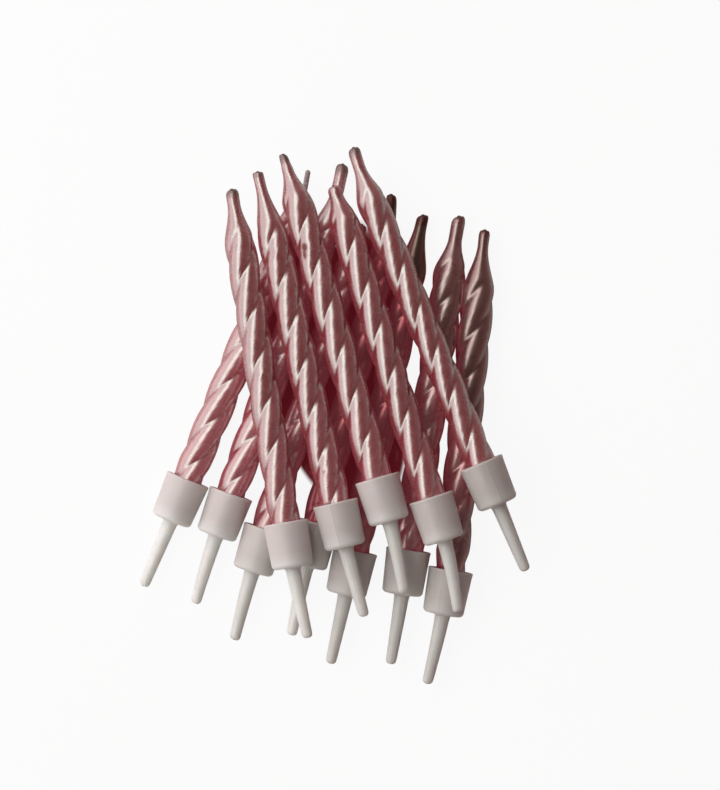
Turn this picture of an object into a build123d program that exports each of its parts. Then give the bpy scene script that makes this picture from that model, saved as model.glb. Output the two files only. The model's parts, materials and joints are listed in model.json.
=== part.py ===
from build123d import *
import os
from math import atan, ceil, cos, degrees, radians, sin, sqrt, tan

os.makedirs("parts", exist_ok=True)

# Wax: a lobed bar, twisted along its length and drawn down to a thin tip round the wick
candle_length = 65.5
crest_diameter = 5.3
lobe_count = 3
lobe_radius = 1.88
twist_lead = 22.8
shoulder_length = 7.0
shoulder_margin = 0.1
tip_length = 5.0
tip_diameter = 2.0

# Wick: a cotton cord from the foot of the wax to just past its tip
wick_diameter = 1.0
wick_stub = 0.2

# Holder: one moulding, a round cup that takes the candle's foot, with a spike below for the cake
cup_height = 7.8
cup_wall = 1.15
cup_floor = 1.4
cup_taper = 0.7
cup_edge_radius = 0.8
cup_rim_radius = 0.25
spike_length = 12.2
spike_root_diameter = 2.6
spike_root_radius = 0.3
spike_end_diameter = 1.8
spike_flat_diameter = 0.4

# Fits: the candle in its socket, how far past the mouth it is drawn, and the air between candles
# that lie together
socket_clearance = 0.05
seat_gap = 0.1
draw_past_mouth = 0.6
lay_gap = 0.15
# Spacing of the points where one candle is felt for on another
lay_step = 0.5

# The heap: two fans of candles, one laid across the other, each laid from left to right
# A step holds the gap between neighbouring cups, the gap between shoulders with both candles drawn,
# and how far the next cup lies towards the spikes
under_mouth = (-30.0, -14.5)
under_lean = 22.5
under_steps = [
    (0.25, 0.1, -0.6),
    (0.15, 0.4, 3.7),
    (0.5, 0.1, -3.7),
    (0.15, 0.1, 3.0),
    (1.0, 0.7, -1.95),
    (0.15, 0.1, 2.0),
]
over_mouth = (-12.8, -21.7)
over_lean = -9.4
over_steps = [
    (1.3, 0.15, -1.9),
    (0.2, 0.15, -2.5),
    (0.2, 2.1, 5.7),
    (2.5, 0.25, -3.2),
]

# How far each candle is rolled about its own axis, and how much shorter than full length its tip was cut
under_rolls = [60, 67, 31, 35, 58, 20, 60]
under_snips = [7.9, 0.0, 4.0, 1.0, 0.0, 0.8, 0.4]
over_rolls = [28, 93, 1, 1, 28]
over_snips = [1.5, 1.1, 1.6, 3.5, 1.1]
# The wax has broken away from the end of one wick, which stands out bare and bent to the left
bare_wick_candle = 6
bare_wick = 6.1
bare_wick_bend = 10.0
bend_radius = 2.0

crest_radius = crest_diameter / 2
tip_radius = tip_diameter / 2
socket_radius = crest_radius + socket_clearance
mouth_radius = socket_radius + cup_wall
cup_foot_radius = mouth_radius - cup_taper / 2
spike_root = spike_root_diameter / 2
spike_end = spike_end_diameter / 2
spike_end_radius = spike_end - spike_flat_diameter / 2

# Stations along a candle's axis, measured from the cup's mouth towards the tip
socket_station = cup_floor - cup_height
foot_station = socket_station + seat_gap
tip_station = foot_station + candle_length
shoulder_station = tip_station - tip_length - shoulder_length
spike_station = -cup_height - spike_length
draw_out = draw_past_mouth - socket_station

# The wax bar, with the waste round its tip turned away and the wick's channel through it
waste_radius = crest_diameter
turns = candle_length / twist_lead
with BuildSketch(Plane.XY.offset(foot_station)) as lobes:
    with PolarLocations(crest_radius - lobe_radius, lobe_count):
        Circle(lobe_radius)
with BuildPart() as wax:
    add(
        Solid.extrude_linear_with_rotation(
            lobes.sketch.face(), (0, 0, foot_station), (0, 0, candle_length), 360 * turns
        )
    )
    with BuildSketch(Plane.XZ):
        with BuildLine():
            neck_start = tip_station - tip_length
            shoulder = (crest_radius + shoulder_margin, shoulder_station)
            flare = Spline(shoulder, (tip_radius, neck_start), tangents=[(0, 1), (0, 1)])
            neck = Line(flare @ 1, (tip_radius, tip_station))
            Polyline(neck @ 1, (waste_radius, tip_station), (waste_radius, shoulder_station), shoulder)
        make_face()
    revolve(axis=Axis.Z, mode=Mode.SUBTRACT)
    with BuildSketch(Plane.XY.offset(foot_station)):
        Circle(wick_diameter / 2)
    extrude(amount=candle_length, mode=Mode.SUBTRACT)


def wax_body(snip):
    """The wax of one candle, its tip cut short by snip."""
    with BuildPart() as body:
        add(wax.part)
        if snip > 0:
            split(bisect_by=Plane.XY.offset(tip_station - snip), keep=Keep.BOTTOM)
    return body.part


def wick_cord(snip):
    """The wick of one candle, standing a little way out of its wax."""
    with BuildPart() as cord:
        with BuildSketch(Plane.XY.offset(foot_station)):
            Circle(wick_diameter / 2)
        extrude(amount=candle_length - snip + wick_stub)
    return cord.part


def bare_wick_cord(snip, roll):
    """A wick standing far out of its wax, bent to the left of a candle with this roll."""
    knee = tip_station - snip + bend_radius * tan(radians(bare_wick_bend / 2))
    end = Vector(0, 0, bare_wick).rotate(Axis.Y, -bare_wick_bend).rotate(Axis.Z, -roll)
    with BuildPart() as cord:
        with BuildLine():
            FilletPolyline((0, 0, foot_station), (0, 0, knee), Vector(0, 0, knee) + end, radius=bend_radius)
        with BuildSketch(Plane.XY.offset(foot_station)):
            Circle(wick_diameter / 2)
        sweep()
    return cord.part


with BuildPart() as holder:
    with BuildSketch(Plane.XZ):
        with BuildLine():
            outside = FilletPolyline(
                (socket_radius, 0),
                (mouth_radius, 0),
                (cup_foot_radius, -cup_height),
                (spike_root, -cup_height),
                (spike_end, spike_station),
                (0, spike_station),
                radius=[cup_rim_radius, cup_edge_radius, spike_root_radius, spike_end_radius],
            )
            Polyline(outside @ 1, (0, socket_station), (socket_radius, socket_station), outside @ 0)
        make_face()
    revolve(axis=Axis.Z)


def girth(station):
    """Radius that a candle fills at a station, with its wax anywhere from seated to drawn out."""
    if station < -cup_height:
        return spike_root + (spike_end - spike_root) * (station + cup_height) / -spike_length
    if station <= 0:
        return mouth_radius + (cup_foot_radius - mouth_radius) * station / -cup_height
    past_shoulder = station - shoulder_station - draw_out
    drawn_down = min(max(past_shoulder / shoulder_length, 0), 1)
    flare_radius = crest_radius + shoulder_margin
    flare_radius += (tip_radius - flare_radius) * drawn_down**2 * (3 - 2 * drawn_down)
    return min(crest_radius, flare_radius)


def heading(lean):
    """Plan direction of a candle that leans by so many degrees from +Y towards +X, as a complex number."""
    return complex(sin(radians(lean)), cos(radians(lean)))


def fan(mouth, lean, steps):
    """Plan place of each cup's mouth, x + yj, and the lean of its candle, from left to right."""
    row = [(complex(*mouth), lean)]
    for cup_gap, shoulder_gap, drop in steps:
        mouth, lean = row[-1]
        cup_pitch = 2 * mouth_radius + cup_gap
        shoulder_pitch = crest_diameter + shoulder_gap
        closest = shoulder_station + draw_out + min(drop, 0)
        turn = degrees(atan((cup_pitch - shoulder_pitch) / closest))
        row.append((mouth - complex(drop, cup_pitch) * heading(lean), lean - turn))
    return row


def top_of(other, point):
    """Height of a laid candle's upper side at a plan point, or zero where it doesn't reach."""
    mouth, lean, height, rise = other
    away = (point - mouth) / heading(lean)
    if not spike_station <= away.real <= tip_station + draw_out:
        return 0
    radius = girth(away.real)
    if abs(away.imag) >= radius:
        return 0
    return height + rise * away.real + sqrt(radius**2 - away.imag**2)


def rest(mouth, lean, laid):
    """Height of the cup's mouth and rise of the axis for a candle let down on the table and on those laid."""
    span = tip_station + draw_out - spike_station
    stops = ceil(span / lay_step)
    needs = []
    for stop in range(stops + 1):
        station = spike_station + span * stop / stops
        radius = girth(station)
        need = radius
        rays = ceil(radius / lay_step)
        for ray in range(-rays, rays + 1):
            share = ray / rays
            point = mouth + complex(station, radius * share) * heading(lean)
            belly = radius * sqrt(1 - share**2)
            for other in laid:
                need = max(need, top_of(other, point) + lay_gap + belly)
        needs.append((station, need))
    near = [found for found in needs if found[0] <= balance]
    far = [found for found in needs if found[0] > balance]

    def height_at_balance(bearing):
        (start, start_height), (end, end_height) = bearing
        return start_height + (end_height - start_height) * (balance - start) / (end - start)

    bearings = ((before, after) for before in near for after in far)
    (start, start_height), (end, end_height) = max(bearings, key=height_at_balance)
    rise = (end_height - start_height) / (end - start)
    return start_height - rise * start, rise


# A candle balances at the middle of its weight, wax and holder being of much the same density
weight = wax.part.volume + holder.part.volume
balance = (
    wax.part.volume * wax.part.center().Z + holder.part.volume * holder.part.center().Z
) / weight

# Lay the lower fan on the table, then the upper fan across it
lower = []
for mouth, lean in fan(under_mouth, under_lean, under_steps):
    lower.append((mouth, lean, *rest(mouth, lean, [])))
upper = []
for mouth, lean in fan(over_mouth, over_lean, over_steps):
    upper.append((mouth, lean, *rest(mouth, lean, lower)))

# Candles are numbered along the upper fan and then the lower, from left to right
rolls = over_rolls + under_rolls
snips = over_snips + under_snips
pieces = {}
for number, (mouth, lean, height, rise) in enumerate(upper + lower, start=1):
    axis = Vector(heading(lean).real, heading(lean).imag, rise).normalized()
    rolled = Vector(axis.Y, -axis.X).rotate(Axis((0, 0, 0), axis), rolls[number - 1])
    place = Plane(origin=(mouth.real, mouth.imag, height), x_dir=rolled, z_dir=axis).location
    snip = snips[number - 1]
    cord = bare_wick_cord(snip, rolls[number - 1]) if number == bare_wick_candle else wick_cord(snip)
    pieces[f"candle_{number:02d}_wax"] = wax_body(snip).moved(place)
    pieces[f"candle_{number:02d}_wick"] = cord.moved(place)
    pieces[f"candle_{number:02d}_holder"] = holder.part.moved(place)

# The origin is on the table, under the middle of the heap
box = Compound(list(pieces.values())).bounding_box()
to_origin = Location((-box.center().X, -box.center().Y, -box.min.Z))
for name, piece in pieces.items():
    placed = piece.moved(to_origin)
    placed.label = name
    export_step(placed, f"parts/{name}.step")
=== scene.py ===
import json
from math import radians, tau

import bpy
import numpy as np
from mathutils import Matrix, Vector


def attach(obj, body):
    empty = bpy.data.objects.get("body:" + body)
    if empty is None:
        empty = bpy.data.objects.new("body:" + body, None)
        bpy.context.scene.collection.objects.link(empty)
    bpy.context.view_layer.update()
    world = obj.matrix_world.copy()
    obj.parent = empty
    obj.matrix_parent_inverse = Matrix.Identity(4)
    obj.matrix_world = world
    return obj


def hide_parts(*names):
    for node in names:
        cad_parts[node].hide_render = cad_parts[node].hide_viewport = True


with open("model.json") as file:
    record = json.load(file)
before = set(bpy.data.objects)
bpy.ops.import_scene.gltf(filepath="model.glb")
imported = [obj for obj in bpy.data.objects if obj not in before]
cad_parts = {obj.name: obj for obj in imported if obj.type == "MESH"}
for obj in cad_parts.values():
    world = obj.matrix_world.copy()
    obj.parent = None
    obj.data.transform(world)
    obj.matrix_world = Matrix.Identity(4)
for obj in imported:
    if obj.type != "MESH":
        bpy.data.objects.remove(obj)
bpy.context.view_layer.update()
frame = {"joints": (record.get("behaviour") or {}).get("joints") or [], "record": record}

# The heap: twelve spiral candles lie loose on a table, five of them across the other seven.
# Each lies along the line that its wax is pulled out by, and the end of its holder's spike
# fixes its place on that line. Sizes are in millimetres until a piece is laid in the frame.
MM = 0.001
cup_height = 7.8
spike_length = 12.2
pulls = {joint["child"]: joint["axis"] for joint in frame["joints"] if joint["name"].startswith("pull")}
spikes = {mount["name"]: mount["pos_m"] for mount in frame["record"]["mounts"]}
candles = range(1, len(pulls) + 1)
# How far each lies to the right of its line at the mouth, and how far more for each millimetre to the tip
strays = [
    (0.10, 0.0),
    (0.0, 0.0),
    (0.0, -0.002),
    (0.0, -0.016),
    (-0.3, -0.0155),
    (0.25, 0.0),
    (0.15, 0.0),
    (0.0, 0.0),
    (0.0, -0.003),
    (-0.3, -0.008),
    (0.0, -0.005),
    (-0.1, -0.010),
]


def candle_axes(number):
    """From a candle's own axes to the frame: zero at the cup's mouth, X to the right, Z to the tip."""
    aside, swing = strays[number - 1]
    along = Vector(pulls[f"candle_{number:02d}"]).normalized()
    right = Vector((along.y, -along.x, 0)).normalized()
    spike_end = Vector(spikes[f"spike_{number:02d}"])
    mouth = spike_end + (along * (cup_height + spike_length) + right * aside) * MM
    along = (along + right * swing).normalized()
    right = Vector((along.y, -along.x, 0)).normalized()
    axes = Matrix((right, along.cross(right), along)).transposed()
    return Matrix.Translation(mouth) @ axes.to_4x4() @ Matrix.Scale(MM, 4)


# Wicks: a round cord braided from cotton yarn and stiffened with wax, which runs through the candle
# from its foot. It was cut off just past the tip, where it is grey from handling. On one candle the
# wax has broken away from the end, and the wick stands out bare and bent.
foot_station = -6.3
candle_length = 65.5
# How much of each candle's end was cut off
snips = [1.5, 1.1, 1.6, 3.5, 1.1, 7.9, -1.0, 4.0, 1.0, 0.0, 0.8, 0.4]
# How far below its end each candle was drawn down thin, and how far to the right that bent its end
draws = [
    (10.9, 0.1),
    (13.0, 0.0),
    (9.8, -0.15),
    (7.4, 0.1),
    (11.0, 0.6),
    (4.1, 0.0),
    (13.4, -1.1),
    (10.0, 0.0),
    (11.5, -1.45),
    (12.0, 0.2),
    (11.1, 0.2),
    (12.2, 0.15),
]
wick_radius = 0.5
wick_sides = 32
wick_stub = 0.2
wick_end_round = 0.35
wick_end_blunt = 0.05
bare_wick_candle = 6
bare_wick = 6.36
bare_wick_bend = radians(12.5)
bend_radius = 2.0
yarns_each_way = 4
yarn_lay = 2.6
yarn_relief = 0.07
yarn_step = 0.09
yarns_from = 0.9
buried_to = 1.0
buried_rings = 24
cotton_pale = (0.60, 0.57, 0.58, 1)
cotton_grey = (0.50, 0.47, 0.475, 1)
cotton_gap_shade = (0.30, 0.26, 0.245, 1)
cotton_waxed = (0.085, 0.04, 0.036, 1)
cotton_patch = 1.5
fuzz_size = 0.12
fuzz_depth = 0.03
crease_angle = radians(50)


class Shade:
    """A value in a finish. Sums and products of values add the nodes that work them out."""

    def __init__(self, tree, socket=None):
        self.tree = tree
        self.socket = socket

    def node(self, kind, settings, sockets, output=0):
        """A node of this kind, with its settings made and its sockets set or linked."""
        node = self.tree.nodes.new(kind)
        for name, value in settings.items():
            setattr(node, name, value)
        for name, value in sockets.items():
            if isinstance(value, Shade):
                self.tree.links.new(value.socket, node.inputs[name])
            else:
                node.inputs[name].default_value = value
        return Shade(self.tree, node.outputs[output] if node.outputs else None)

    def math(self, operation, first, second):
        return self.node("ShaderNodeMath", {"operation": operation}, {0: first, 1: second})

    def __add__(self, other):
        return self.math("ADD", self, other)

    def __sub__(self, other):
        return self.math("SUBTRACT", self, other)

    def __mul__(self, other):
        return self.math("MULTIPLY", self, other)

    def __rsub__(self, other):
        return self.math("SUBTRACT", other, self)

    __radd__ = __add__
    __rmul__ = __mul__

    def between(self, low, high):
        """How far this value has come from low to high, from 0 to 1."""
        return self.node(
            "ShaderNodeMapRange",
            {"interpolation_type": "SMOOTHSTEP"},
            {"Value": self, "From Min": low, "From Max": high},
        )

    def blend(self, colour, other):
        """The first colour where this value is 0 and the other where it is 1."""
        return self.node("ShaderNodeMix", {"data_type": "RGBA"}, {0: self, 6: colour, 7: other}, 2)

    def mark(self, name):
        """A value that the mesh carries at its points."""
        return self.node("ShaderNodeAttribute", {"attribute_name": name}, {}, 2)

    def cloud(self, size, detail):
        """Noise with features of about this size."""
        place = self.node("ShaderNodeTexCoord", {}, {}, 3)
        return self.node(
            "ShaderNodeTexNoise", {}, {"Vector": place, "Scale": 1 / (size * MM), "Detail": detail}
        )

    def open_sky(self, reach, samples):
        """How much of the sky a spot sees past what stands within this reach, from 0 to 1."""
        return self.node("ShaderNodeAmbientOcclusion", {"samples": samples}, {"Distance": reach * MM}, 1)

    def grain(self, height, depth):
        """A bumpy surface, where height runs over this depth."""
        return self.node("ShaderNodeBump", {}, {"Height": height, "Distance": depth * MM, "Strength": 1.0})


def finish(name):
    """A new finish: its material, and the start of its nodes."""
    material = bpy.data.materials.new(name)
    material.use_nodes = True
    material.node_tree.nodes.clear()
    return material, Shade(material.node_tree)


def coat_with(start, sockets):
    """Ends a finish in one surface with these sockets."""
    surface = start.node("ShaderNodeBsdfPrincipled", {}, sockets)
    start.node("ShaderNodeOutputMaterial", {}, {"Surface": surface})


def skin(rings, looped):
    """Points and faces of a skin over rings of points, closed by a point at each end or back to the start."""
    count, around = rings.shape[:2]
    points = rings.reshape(-1, 3)
    if not looped:
        points = np.vstack([points, rings[0].mean(0), rings[-1].mean(0)])
    faces = []
    for ring in range(count if looped else count - 1):
        here = ring * around
        there = (ring + 1) % count * around
        for side in range(around):
            after = (side + 1) % around
            faces.append((here + side, here + after, there + after, there + side))
    if not looped:
        last = (count - 1) * around
        for side in range(around):
            after = (side + 1) % around
            faces.append((count * around, after, side))
            faces.append((count * around + 1, last + side, last + after))
    return points, faces


def lay_piece(number, part, body, slot, points, faces, marks, material):
    """Lays one piece of a candle in the heap, in place of its plain solid."""
    name = f"{part}_{number:02d}"
    place = np.array(candle_axes(number))
    mesh = bpy.data.meshes.new(name)
    mesh.from_pydata((points @ place[:3, :3].T + place[:3, 3]).tolist(), [], faces)
    for mark, values in marks.items():
        at_points = np.zeros(len(points))
        at_points[: values.size] = values.ravel()
        mesh.attributes.new(mark, "FLOAT", "POINT").data.foreach_set("value", at_points.astype(np.float32))
    mesh.shade_smooth()
    mesh.set_sharp_from_angle(angle=crease_angle)
    mesh.materials.append(material)
    piece = bpy.data.objects.new(name, mesh)
    bpy.context.scene.collection.objects.link(piece)
    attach(piece, f"{body}_{number:02d}")
    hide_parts(f"candle_{number:02d}_{part}")


def braided_cotton():
    material, start = finish("braided_cotton")
    fuzz = start.cloud(fuzz_size, 3)
    tone = start.cloud(cotton_patch, 2).between(0.35, 0.65).blend(cotton_pale, cotton_grey)
    # Painted shade darkens the gaps between the yarns
    tone = start.mark("gap").blend(tone, cotton_gap_shade)
    tone = start.mark("waxed").blend(tone, cotton_waxed)
    coat_with(
        start,
        {
            "Base Color": tone,
            "Roughness": 0.8 + 0.2 * fuzz,
            "Normal": start.grain(fuzz, fuzz_depth),
        },
    )
    return material


def wax_top(number):
    """Station of a candle's cut end."""
    return foot_station + candle_length - snips[number - 1]


def sway(number, station):
    """How far to the right of its line a candle's drawn end lies at a station."""
    drawn, bend = draws[number - 1]
    return bend * np.clip((station - (wax_top(number) - drawn)) / drawn, 0, 1.1) ** 2


def wick_rings(end, bare):
    """Rings of a wick up to its end station, with its yarns shown over the bare length, and its gaps."""
    buried = np.linspace(foot_station, end - bare - buried_to, buried_rings)
    shown = np.linspace(end - bare - yarns_from, end, int((bare + yarns_from) / yarn_step))
    turn = np.linspace(0, tau, wick_sides + 1)[:-1]
    angle, station = np.meshgrid(turn, np.concatenate([buried, shown]))
    spin = tau * yarns_each_way * station / yarn_lay / 2
    gap = 0.5 - 0.5 * np.sin(angle * yarns_each_way + spin) * np.sin(angle * yarns_each_way - spin)
    round_off = np.sqrt(np.clip((end + wick_end_blunt - station) / wick_end_round, 0, 1))
    radius = wick_radius * (1 - yarn_relief * 2 * gap) * round_off
    return np.stack([radius * np.cos(angle), radius * np.sin(angle), station], axis=2), gap


def bend_past(rings, top):
    """Bends a wick to the left where it leaves the wax."""
    past = np.clip(rings[:, :, 2] - top, 0, None)
    bent = np.minimum(past / bend_radius, bare_wick_bend)
    straight = past - bent * bend_radius
    across = rings[:, :, 0].copy()
    rings[:, :, 0] = across * np.cos(bent) - bend_radius * (1 - np.cos(bent)) - straight * np.sin(bent)
    rings[:, :, 2] += across * np.sin(bent) + bend_radius * np.sin(bent) + straight * np.cos(bent) - past


cotton = braided_cotton()
for number in candles:
    top = wax_top(number)
    is_bare = number == bare_wick_candle
    stub = bare_wick if is_bare else wick_stub
    rings, gap = wick_rings(top + stub, stub)
    if is_bare:
        bend_past(rings, top)
    else:
        rings[:, :, 0] += sway(number, rings[:, :, 2])
    marks = {"gap": gap, "waxed": np.full_like(gap, 0.0 if is_bare else 1.0)}
    lay_piece(number, "wick", "candle", "cotton_wick", *skin(rings, False), marks, cotton)


# Wax: a bar of paraffin with three rounded lobes, twisted while warm, drawn down to a thin neck round
# the wick and dipped in pearl lacquer, whose flakes throw back a pale light and let pink through.
# Each neck was drawn and cut by hand, so no two tips are alike.
crest_radius = 2.65
lobe_radius = 1.88
lobe_count = 3
points_per_lobe = 26
groove_melt = 0.16
twist_lead = 22.8
rolls = [28, 93, 1, 1, 28, 60, 67, 31, 35, 58, 20, 60]
channel_radius = 0.5
channel_rings = 12
body_step = 0.4
tip_step = 0.25
# Height over the foot of its lowest rings, and how far each is drawn in
foot_rings = [(0, 0.15), (0.08, 0.03), (0.2, 0)]
shoulder_margin = 0.1
shoulder_melt = 0.4
end_length = 3
end_rings = 8
cut_length = 2.5
# Drawing lines and wandering set in above the cup, from its first clear station over this length
clear_from = 1
clear_over = 3
line_waves = (5, 8, 11, 17)
line_height = 0.006
lacquer_inset = 0.02
lobe_wander = 0.03
lobe_wander_every = 7
twist_wander = 0.06
twist_wander_every = 9
wax_seed = 40
# How much wider than high each bar has sunk, laid down warm, and where that sets in
slumps = [0.06, 0.06, 0.08, 0.04, 0.04, 0.10, 0.08, 0.03, 0.03, 0.08, 0.16, 0.15]
slump_from = 0.5
slump_over = 2.5
# How each tip was drawn and cut, left to right along the upper layer and then the lower: over what length
# it comes down to the neck, its radius at the neck and at the end, how far the end is rounded, how
# steeply it is cut, and how far it is smudged
tips = [
    (8.4, 1.11, 1.14, 1.10, 0.1, 0.75),
    (10.5, 0.95, 0.94, 0.35, -0.1, 0.6),
    (7.0, 1.00, 0.62, 1.50, -0.3, 0.8),
    (5.8, 1.20, 1.20, 1.00, 0.0, 0.3),
    (7.4, 1.06, 1.10, 1.00, 0.0, 0.75),
    (7.0, 1.00, 1.60, 0.20, 0.0, 0.4),
    (8.0, 1.12, 1.15, 1.10, 0.1, 0.9),
    (7.0, 1.00, 1.00, 0.60, 0.0, 0.8),
    (8.0, 0.95, 0.92, 1.00, 0.1, 0.9),
    (10.0, 1.06, 1.02, 0.80, 0.3, 0.8),
    (7.1, 1.18, 1.20, 1.30, 0.3, 0.6),
    (9.5, 0.93, 0.98, 0.90, 0.0, 0.6),
]
# Marks left by handling on the sides that show: candle, station, how far to the right, half its length,
# half its width, how far it stands up, and how far the lacquer is gone from it
scuffs = [
    (3, 41.1, -0.95, 0.85, 0.5, -0.22, 1.0),
    (3, 39.8, -1.25, 0.9, 0.3, -0.12, 1.0),
    (2, 43.6, 0.15, 0.8, 0.45, 0.16, 0.0),
    (2, 32.2, 0.5, 0.5, 0.4, -0.10, 0.2),
    (1, 25.4, 0.3, 0.5, 0.6, 0.10, 0.0),
    (2, 5.6, -0.6, 0.5, 0.5, -0.10, 0.6),
    (2, 4.8, 0.9, 0.4, 0.4, -0.10, 0.5),
    (3, 6.0, -0.2, 0.6, 0.5, 0.12, 0.1),
    (3, 4.4, 0.8, 0.5, 0.4, -0.10, 0.4),
    (4, 18.5, -0.8, 0.4, 0.35, 0.08, 0.0),
    (12, 44.0, -0.4, 0.7, 0.4, 0.09, 0.0),
    (11, 45.0, -0.5, 0.6, 0.35, 0.10, 0.0),
]
# How dull each bar's lacquer has gone, with painted shade where a bar lies in less light, and how far up from
# the cup a painted light makes it paler and pinker, and how much
dullness_and_shade = [0.0, 0.0, 0.0, 0.0, 0.0, 0.0, 0.0, 0.2, 1.0, 1.0, 0.4, 0.55]
painted_light_reach = [22, 20, 20, 18, 12, 90, 90, 30, 25, 20, 20, 10]
painted_light_depth = [0.45, 0.45, 0.4, 0.4, 0.3, 0.8, 0.8, 0.6, 0.6, 0.4, 0.3, 0.2]
groove_fade = 6
smudge_least = 1.0
smudge_most = 3.0
lacquer_pink = (0.29, 0.036, 0.048, 1)
lacquer_pale = (0.33, 0.056, 0.07, 1)
lacquer_deep = (0.25, 0.012, 0.022, 1)
painted_light_pink = (0.38, 0.07, 0.088, 1)
lacquer_dull_and_shaded = (0.15, 0.085, 0.06, 1)
painted_gap_rose = (0.36, 0.075, 0.09, 1)
painted_gap_crimson = (0.32, 0.02, 0.032, 1)
lacquer_smudge = (0.14, 0.062, 0.054, 1)
wax_bare = (0.12, 0.035, 0.03, 1)
no_glow = (0, 0, 0, 1)
painted_gap_glow = (0.055, 0.004, 0.008, 1)
painted_rim_glow = (0.075, 0.02, 0.025, 1)
painted_light_glow = (0.075, 0.02, 0.026, 1)
wax_bleed = (1.0, 0.15, 0.15)
wax_bleed_reach = 2.0
pearl_tint = (0.88, 1.0, 0.94, 1)
pearl_index = 3.6
mottle_size = 1.6
flake_size = 0.09
flake_depth = 0.0015
dirt_size = 0.5
gap_reach = 9


def ease(part):
    """From 0 to 1 with a soft start and a soft end."""
    return part * part * (3 - 2 * part)


def drift(rng, stations, spacing, amount):
    """A slow wandering along the candle, with a new aim at each spacing."""
    knots = np.arange(stations.min() - spacing, stations.max() + 2 * spacing, spacing)
    aims = rng.uniform(-amount, amount, len(knots))
    place = (stations - knots[0]) / spacing
    knot = place.astype(int)
    share = ease(place - knot)
    return aims[knot] * (1 - share) + aims[knot + 1] * share


def melt(first, second, reach):
    """The lesser of two radii, run into each other over this reach."""
    share = np.clip(0.5 + 0.5 * (second - first) / reach, 0, 1)
    return second * (1 - share) + first * share - reach * share * (1 - share)


def lobe_reach(angle):
    """Radius of one lobe's round at an angle from its crest."""
    centre = crest_radius - lobe_radius
    return centre * np.cos(angle) + np.sqrt(lobe_radius**2 - (centre * np.sin(angle)) ** 2)


def wax_rings(number):
    """Rings of one candle's wax, up its outside and back down the wick's channel, and its marks."""
    rng = np.random.default_rng(wax_seed + number)
    length, neck, end_radius, rounding, cut, smudge = tips[number - 1]
    top = wax_top(number)
    shoulder = top - draws[number - 1][0]
    stations = np.concatenate(
        [
            [foot_station + height for height, drawn_in in foot_rings],
            np.arange(foot_station + 0.6, shoulder - 1, body_step),
            np.arange(shoulder - 1, top - rounding, tip_step),
        ]
    )

    # Points gather in the grooves, where the outline turns fastest
    share = np.linspace(-1, 1, points_per_lobe + 1)[:-1]
    half = np.pi / lobe_count
    lobe = half * (0.6 * share + 0.4 * np.sin(share * np.pi / 2))
    turn = np.concatenate([lobe + 2 * half * k for k in range(lobe_count)])
    from_crest = np.abs(np.tile(lobe, lobe_count))
    lobed = -melt(-lobe_reach(from_crest), -lobe_reach(2 * half - from_crest), groove_melt)
    groove = (crest_radius - lobed) / (crest_radius - lobed.min())

    # Drawing left fine lines along the lobes, and no lobe is quite as full as the next
    free = np.clip((stations - clear_from) / clear_over, 0, 1)[:, None]
    lines = sum(
        rng.uniform(0.3, 1) * np.cos(turn * lobe_count * wave + rng.uniform(0, tau))
        for wave in line_waves
    )
    outside = lobed + free * (line_height * lines - lacquer_inset)
    for k in range(lobe_count):
        part = slice(k * points_per_lobe, (k + 1) * points_per_lobe)
        outside[:, part] += free * drift(rng, stations, lobe_wander_every, lobe_wander)[:, None]
    flare = crest_radius + shoulder_margin
    flare = flare + (neck - flare) * ease(np.clip((stations - shoulder) / length, 0, 1))
    flare = flare + (end_radius - neck) * ease(np.clip((stations - top + end_length) / end_length, 0, 1))
    outside = melt(outside, flare[:, None], shoulder_melt)
    twist = tau * (stations - foot_station) / twist_lead
    twist = twist + free[:, 0] * drift(rng, stations, twist_wander_every, twist_wander)

    # The end is rounded in to the wick, and then the skin turns down the channel
    sweep = np.linspace(0, np.pi / 2, end_rings)[1:, None]
    inset = min(rounding, 0.95 * (outside[-1].min() - channel_radius))
    capped = outside[-1] - (1 - np.cos(sweep)) * inset
    down = np.linspace(top - 0.1, foot_station, channel_rings)
    radius = np.vstack([outside, capped, np.full((channel_rings, len(turn)), channel_radius)])
    for ring, (height, drawn_in) in enumerate(foot_rings):
        radius[ring] -= drawn_in
    stations = np.concatenate([stations, top - rounding + rounding * np.sin(sweep[:, 0]), down])
    twist = np.concatenate([twist, np.full(len(stations) - len(twist), twist[-1])])

    angle = turn + twist[:, None] + radians(rolls[number - 1])
    station = stations[:, None] * np.ones_like(angle)
    bare = np.zeros_like(angle)
    for candle, place, right, tall, wide, lift, lost in scuffs:
        if candle == number:
            across = radius * np.cos(angle) - right
            spot = np.exp(-(((station - place) / tall) ** 2) - (across / wide) ** 2)
            spot *= (np.sin(angle) < 0) & (radius > channel_radius)
            radius = radius + lift * spot
            bare = np.maximum(bare, lost * spot)

    x = radius * np.cos(angle)
    y = radius * np.sin(angle)
    z = station + np.clip((station - top + cut_length) / cut_length, 0, 1) ** 2 * cut * x
    thick = np.clip((station - slump_from) / slump_over, 0, 1)
    thick = thick * np.clip((shoulder + length - station) / length, 0, 1)
    x = x * (1 + slumps[number - 1] * thick) + sway(number, station)
    marks = {
        "groove": groove * np.clip((shoulder + groove_fade / 2 - station) / groove_fade, 0, 1),
        "smudge": smudge * np.clip(1 - (top - station) / (smudge_least + smudge_most * smudge), 0, 1),
        "bare": bare,
        "dull": np.full_like(angle, dullness_and_shade[number - 1]),
        "blush": painted_light_depth[number - 1] * np.clip(1 - station / painted_light_reach[number - 1], 0, 1),
    }
    return np.stack([x, y, z], axis=2), marks


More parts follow.
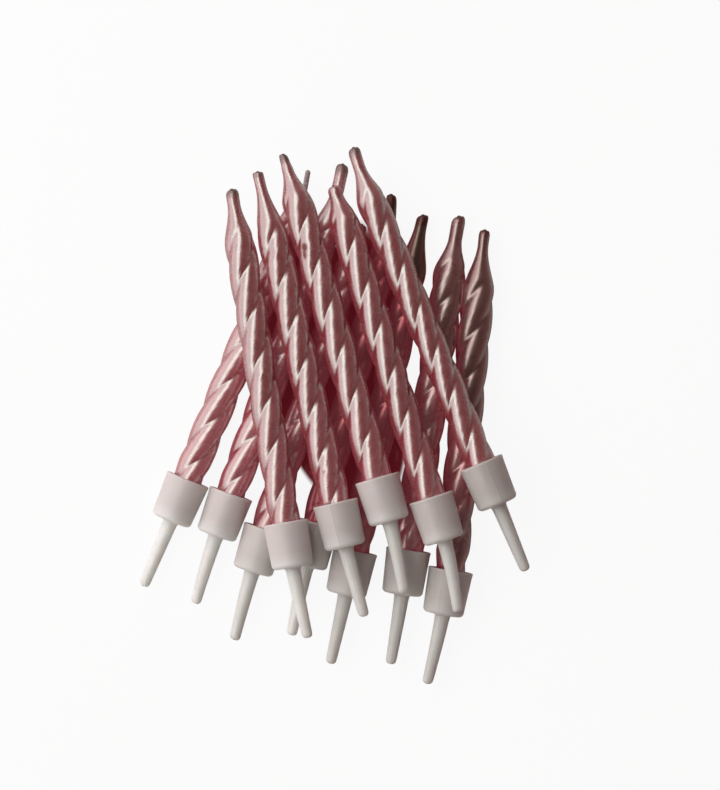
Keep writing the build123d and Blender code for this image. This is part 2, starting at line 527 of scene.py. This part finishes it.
def pearl_lacquer():
    material, start = finish("pearl_lacquer")
    groove = start.mark("groove")
    dull = start.mark("dull")
    blush = start.mark("blush")
    bare = start.mark("bare").between(0.2, 0.7)
    mottle = start.cloud(mottle_size, 3).between(0.3, 0.7)
    flake = start.cloud(flake_size, 2)
    dirt = (start.mark("smudge") + 0.5 * start.cloud(dirt_size, 3) - 0.25).between(0.25, 0.7)
    # Painted shade between candles: where little sky shows, the lacquer is painted crimson with a faint
    # painted glow, as if lit only through the wax, and painted rose at the rim of each gap
    sky = start.open_sky(gap_reach, 8)
    gap_shade = 1 - sky.between(0.06, 0.26)
    gap_rim_shade = (1 - sky.between(0.26, 0.62)) * (1 - gap_shade)
    colour = mottle.blend(lacquer_pink, lacquer_pale)
    # Painted light: paler and pinker up from the cup
    colour = blush.blend(colour, painted_light_pink)
    colour = (groove * groove * groove).blend(colour, lacquer_deep)
    # Duller lacquer, and painted shade on the bars that lie in less light
    colour = dull.blend(colour, lacquer_dull_and_shaded)
    colour = gap_shade.blend(gap_rim_shade.blend(colour, painted_gap_rose), painted_gap_crimson)
    colour = bare.blend(colour, wax_bare)
    colour = dirt.blend(colour, lacquer_smudge)
    # Painted glow in the gaps between candles and at their rims
    glow = gap_shade.blend(gap_rim_shade.blend(no_glow, painted_rim_glow), painted_gap_glow)
    # A painted glow goes with the painted light up from the cup
    glow = (blush * (1 - gap_shade)).blend(glow, painted_light_glow)
    # Metallic where the lacquer is worn, dull and dirty, and under the painted shade between candles
    worn_and_shaded = start.math("MINIMUM", 0.85 * gap_shade + 0.85 * dull + 0.9 * bare + 0.6 * dirt, 1.0)
    coat_with(
        start,
        {
            "Base Color": colour,
            "Metallic": worn_and_shaded,
            "Roughness": 0.22 + 0.06 * mottle + 0.05 * flake + 0.05 * dull + 0.2 * gap_shade + 0.2 * dirt,
            "Emission Color": glow,
            "Emission Strength": 1.0,
            "IOR": pearl_index,
            "Specular Tint": pearl_tint,
            "Subsurface Weight": 0.5,
            "Subsurface Radius": wax_bleed,
            "Subsurface Scale": wax_bleed_reach * MM,
            "Normal": start.grain(flake, flake_depth),
        },
    )
    return material


lacquer = pearl_lacquer()
for number in candles:
    rings, marks = wax_rings(number)
    lay_piece(number, "wax", "candle", "pearl_wax", *skin(rings, True), marks, lacquer)


# Holders: one moulding in milky polyethylene, a round cup that grips the candle's foot, with a tapered
# spike under it for the cake. The mould opened along the axis and left a fine line down each side.
# Some spikes have been bent, and two cups sit askew.
socket_radius = 2.70
socket_station = -6.4
socket_corner = 0.15
socket_flare = 0.12
mouth_radius = 3.85
lip_round = 0.2
lip_height = 0.4
lip_proud = 0.04
cup_foot_radius = 3.5
cup_foot_round = 0.8
cup_foot_proud = 0.05
spike_root_radius = 1.3
spike_end_radius = 0.9
spike_end_round = 0.7
spike_end_flat = 0.2
seam_height = 0.035
seam_width = 0.09
seam_turns = [20, 75, 130, 35, 100, 160, 60, 10, 90, 45, 120, 70]
holder_tilts = [0.0, 0.0, 0.0, 0.0, 0.0, 0.0, 0.0, 0.0, 0.0, 0.02, 0.0, 0.085]
spike_bends = [0.6, 0.4, -1.0, -1.4, 0.0, 0.0, 0.6, 0.6, 0.4, 0.0, -0.2, -0.5]
# Painted shade: how far each holder is darkened where it lies in less light
painted_holder_shade = [0.05, 0.15, 0.15, 0.2, 0.4, 0.0, 0.0, 0.2, 0.0, 0.25, 0.35, 0.25]
filled_over = 2.5
milk_white = (0.79, 0.82, 0.785, 1)
milk_grey = (0.73, 0.76, 0.72, 1)
milk_pink = (0.595, 0.55, 0.53, 1)
milk_painted_shade = (0.40, 0.395, 0.36, 1)
milk_bleed = (1.0, 0.85, 0.75)
milk_bleed_reach = 1.4
milk_cloud = 3.5
milk_grain = 0.35
milk_grain_depth = 0.008


def arc(centre, radius, start, end, count):
    """Points of an arc in the profile's plane, with angles in degrees from the radius to the axis."""
    angles = np.radians(np.linspace(start, end, count))
    return [(centre[0] + radius * np.cos(a), centre[1] + radius * np.sin(a)) for a in angles]


def taper(wide, narrow, top, length, shares):
    """Points down a taper that starts at this top station."""
    return [(wide + (narrow - wide) * share, top - length * share) for share in shares]


def holder_profile():
    """Radius and station of the holder's outline, from the socket's floor over the rim to the spike's end."""
    foot = -cup_height
    outline = [(0.4, socket_station), (socket_radius - socket_corner, socket_station)]
    outline += [(socket_radius, socket_station + socket_corner), (socket_radius, -3), (socket_radius, -0.3)]
    outline += [(socket_radius + 0.03, -0.08), (socket_radius + socket_flare, 0)]
    outline += arc((mouth_radius + lip_proud - lip_round, -lip_round), lip_round, 90, 0, 5)
    outline += [(mouth_radius + lip_proud * 0.8, -lip_height * 0.8), (mouth_radius - 0.02, -lip_height * 1.6)]
    outline += taper(mouth_radius, cup_foot_radius, 0, cup_height, np.linspace(0.15, 0.85, 8))
    foot_centre = (cup_foot_radius + cup_foot_proud - cup_foot_round, foot + cup_foot_round)
    outline += arc(foot_centre, cup_foot_round, 0, -90, 9)
    outline += [(2.2, foot), (1.75, foot)]
    outline += [(1.5, foot - 0.06), (1.37, foot - 0.2), (1.31, foot - 0.5)]
    outline += taper(spike_root_radius, spike_end_radius, foot, spike_length, np.linspace(0.1, 0.92, 10))
    outline += arc((spike_end_flat, foot - spike_length + spike_end_round), spike_end_round, -5, -85, 8)
    return np.array(outline)


def holder_rings(number):
    """Rings of one holder from the spike's end to the socket's floor, and its marks."""
    profile = holder_profile()
    beside = np.radians([-6, -3, -1.6, -0.8, 0, 0.8, 1.6, 3, 6])
    between = np.radians(np.arange(12, 169, 6))
    turn = np.concatenate([beside, between, beside + np.pi, between + np.pi])
    radius = profile[:, :1] * np.ones((1, len(turn)))
    from_seam = np.abs((turn + np.pi / 2) % np.pi - np.pi / 2)
    seam = np.exp(-((from_seam[None, :] * radius / seam_width) ** 2))
    past_lip = np.arange(len(profile)) > 10
    seam *= (past_lip & (profile[:, 0] > 0.6))[:, None]
    radius = radius + seam_height * seam
    angle = turn + radians(seam_turns[number - 1])
    station = profile[:, 1:] * np.ones((1, len(turn)))
    tilt = holder_tilts[number - 1]
    aside = spike_bends[number - 1] * np.clip(-(station + cup_height) / spike_length, 0, 1) ** 1.5
    aside = aside + tilt * station
    x = radius * np.cos(angle)
    sunk = station - tilt * (x + mouth_radius)
    rings = np.stack([x + aside, radius * np.sin(angle), sunk], axis=2)
    filled = np.clip((station + cup_height) / filled_over, 0, 1)
    stale = np.full_like(station, painted_holder_shade[number - 1])
    return rings[::-1], {"filled": filled[::-1], "stale": stale}


def milky_polyethylene():
    material, start = finish("milky_polyethylene")
    cloud = start.cloud(milk_cloud, 3).between(0.3, 0.7)
    colour = cloud.blend(milk_white, milk_grey)
    # The candle's foot shows through the cup as a pink shade
    colour = (start.mark("filled") * 0.75).blend(colour, milk_pink)
    # Painted shade on the holders that lie in less light
    colour = start.mark("stale").blend(colour, milk_painted_shade)
    coat_with(
        start,
        {
            "Base Color": colour,
            "Roughness": 0.36 + 0.12 * cloud,
            "Subsurface Weight": 0.7,
            "Subsurface Radius": milk_bleed,
            "Subsurface Scale": milk_bleed_reach * MM,
            "Normal": start.grain(start.cloud(milk_grain, 2), milk_grain_depth),
        },
    )
    return material


milky = milky_polyethylene()
for number in candles:
    rings, marks = holder_rings(number)
    lay_piece(number, "holder", "holder", "holder_plastic", *skin(rings, False), marks, milky)


# The table under the heap: a sheet of white paper, far wider than the candles, in so much light that it shows
# nearly pure white. Close under the middle of the heap it is painted dark red with a faint painted glow, a
# painted shade for a place that only light from the wax reaches.
paper_radius = 1500
paper_sides = 96
paper_white = (0.86, 0.86, 0.85, 1)
painted_shade_red = (0.32, 0.035, 0.045, 1)
painted_bounce_glow = (0.045, 0.004, 0.007, 1)
paper_bleach = 0.92
pure_white = (1, 1, 1, 1)
# Ovals under the middle of the heap, where the paper takes the painted shade: middle, turn in degrees, and
# half widths
painted_shade_ovals = [((-0.6, 7.8), 16, (11.0, 24.6)), ((8.2, 26.2), 20, (2.8, 8.2))]
shelter_reach = 12


def beyond(start, middle, turn, reach):
    """0 inside an oval on the paper and 1 outside it."""
    spot = start.node("ShaderNodeNewGeometry", {}, {}, 0)
    mapped = start.node(
        "ShaderNodeMapping",
        {"vector_type": "TEXTURE"},
        {
            "Vector": spot,
            "Location": (middle[0] * MM, middle[1] * MM, 0),
            "Rotation": (0, 0, radians(turn)),
            "Scale": (reach[0] * MM, reach[1] * MM, 1),
        },
    )
    return start.node("ShaderNodeVectorMath", {"operation": "LENGTH"}, {0: mapped}, 1).between(1.03, 1.10)


def sheet(start, colour, glow, bleach, white):
    """A matt sheet of paper, bleached by the light as far as this."""
    matt = start.node(
        "ShaderNodeBsdfPrincipled",
        {},
        {
            "Base Color": colour,
            "Emission Color": glow,
            "Emission Strength": 1.0,
            "Roughness": 0.9,
            "Specular IOR Level": 0.0,
        },
    )
    burnt = start.node("ShaderNodeEmission", {}, {"Color": pure_white, "Strength": white})
    return start.node("ShaderNodeMixShader", {}, {0: bleach, 1: matt, 2: burnt})


def white_paper():
    material, start = finish("white_paper")
    seen = start.node("ShaderNodeLightPath", {}, {}, 0)
    far = beyond(start, *painted_shade_ovals[0]) * beyond(start, *painted_shade_ovals[1])
    open_sheet = sheet(start, paper_white, no_glow, seen * paper_bleach, 1.0)
    # The sky is only looked for under the heap, where the sheet is a shade dimmer and painted dark red where
    # little sky shows
    clear = start.open_sky(shelter_reach, 64).between(0.2, 0.28)
    colour = clear.blend(painted_shade_red, paper_white)
    painted_shade_sheet = sheet(start, colour, clear.blend(painted_bounce_glow, no_glow), seen * clear * paper_bleach, 0.99)
    surface = start.node("ShaderNodeMixShader", {}, {0: far, 1: painted_shade_sheet, 2: open_sheet})
    start.node("ShaderNodeOutputMaterial", {}, {"Surface": surface})
    return material


turns = np.linspace(0, tau, paper_sides + 1)[:-1]
outline = paper_radius * MM * np.stack([np.cos(turns), np.sin(turns), 0 * turns], axis=1)
paper_mesh = bpy.data.meshes.new("paper")
paper_mesh.from_pydata(outline.tolist(), [], [tuple(range(paper_sides))])
paper_mesh.materials.append(white_paper())
paper = bpy.data.objects.new("paper", paper_mesh)
bpy.context.scene.collection.objects.link(paper)


# The light: a broad window to the left with a pale sill below it, in a room that is pinkish low down
# and dim overhead. Both lamps face the middle of the heap.
room_low = (0.34, 0.195, 0.205, 1)
room_overhead = (0.085, 0.072, 0.066, 1)


def soft_lamp(name, place, size, power, colour):
    lamp = bpy.data.lights.new(name, "AREA")
    lamp.shape = "RECTANGLE"
    lamp.size, lamp.size_y = (side * MM for side in size)
    lamp.energy = power
    lamp.color = colour
    lamp_object = bpy.data.objects.new(name, lamp)
    lamp_object.location = Vector(place) * MM
    lamp_object.rotation_euler = (-Vector(place)).to_track_quat("-Z", "Y").to_euler()
    bpy.context.scene.collection.objects.link(lamp_object)


soft_lamp("window", place=(-101, 30, 231), size=(500, 98), power=0.40, colour=(1, 0.985, 0.945))
soft_lamp("sill", place=(-201, 85, 125), size=(540, 277), power=0.60, colour=(1, 0.93, 0.98))
room = bpy.data.worlds.new("room")
room.use_nodes = True
room.node_tree.nodes.clear()
start = Shade(room.node_tree)
way = start.node("ShaderNodeTexCoord", {}, {}, 0)
up = start.node("ShaderNodeSeparateXYZ", {}, {0: way}, 2)
wall = up.between(0.0, 0.9).blend(room_low, room_overhead)
start.node("ShaderNodeOutputWorld", {}, {"Surface": start.node("ShaderNodeBackground", {}, {"Color": wall})})
bpy.context.scene.world = room
bpy.context.scene.view_settings.view_transform = "Standard"


# The camera looks straight down on the heap, with the tips at the top of the picture.
# The scale is the lens's focal length in pixels of the picture.
picture_width, picture_height = 720, 790
picture_scale = 2404.0
picture_middle = (4.66, 3.48)
camera_height = 420.0
camera_data = bpy.data.cameras.new("camera")
camera_data.sensor_width = 36
camera_data.lens = camera_data.sensor_width * picture_scale / max(picture_width, picture_height)
camera_data.clip_start = 10 * MM
camera = bpy.data.objects.new("camera", camera_data)
camera.location = Vector((*picture_middle, camera_height)) * MM
bpy.context.scene.collection.objects.link(camera)
bpy.context.scene.camera = camera
